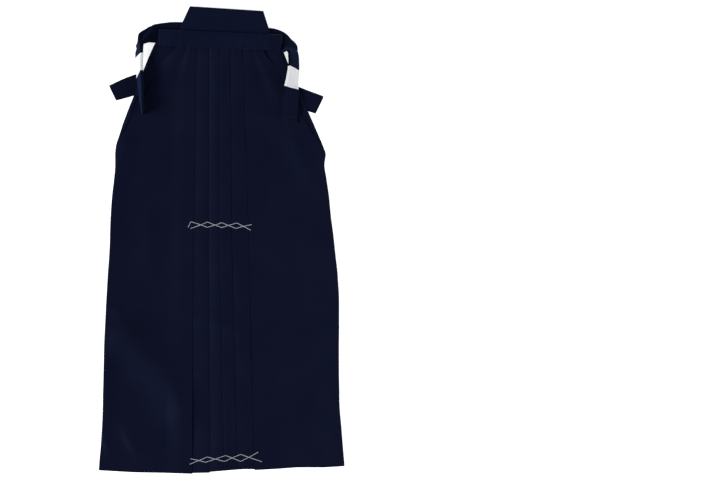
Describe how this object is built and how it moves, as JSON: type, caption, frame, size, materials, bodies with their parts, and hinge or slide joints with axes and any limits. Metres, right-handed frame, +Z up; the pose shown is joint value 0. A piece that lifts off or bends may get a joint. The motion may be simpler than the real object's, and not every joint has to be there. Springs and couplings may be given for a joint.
{
  "type": "hakama trousers",
  "caption": "Wide pleated trousers laid flat, front up, with knife pleats, waistband, stiff back board, crossed front ties and back ties folded in paper bands.",
  "frame": {"origin": "centre of the footprint at the surface the garment lies on", "axes": "+Z up from that surface, +Y from the hem towards the waist, +X towards the wearer's left side; the front faces up"},
  "size_m": [0.5312, 1.0092, 0.0424],
  "materials": {
    "navy_cloth": "fine matt twill, pressed pleats",
    "navy_band": "folded matt twill, stitched",
    "navy_board": "matt twill over a stiff board",
    "navy_tie": "folded matt twill strip",
    "white_paper": "smooth white paper"
  },
  "bodies": {
    "root": {"front_right_leg": "navy_cloth", "front_left_leg": "navy_cloth", "back_right_leg": "navy_cloth", "back_left_leg": "navy_cloth", "front_waistband": "navy_band", "back_board": "navy_board", "front_tie_left": "navy_tie", "front_tie_right": "navy_tie", "back_tie_right": "navy_tie", "back_tie_left": "navy_tie", "paper_band_right": "white_paper", "paper_band_left": "white_paper", "paper_band_back": "white_paper"}
  },
  "joints": []
}
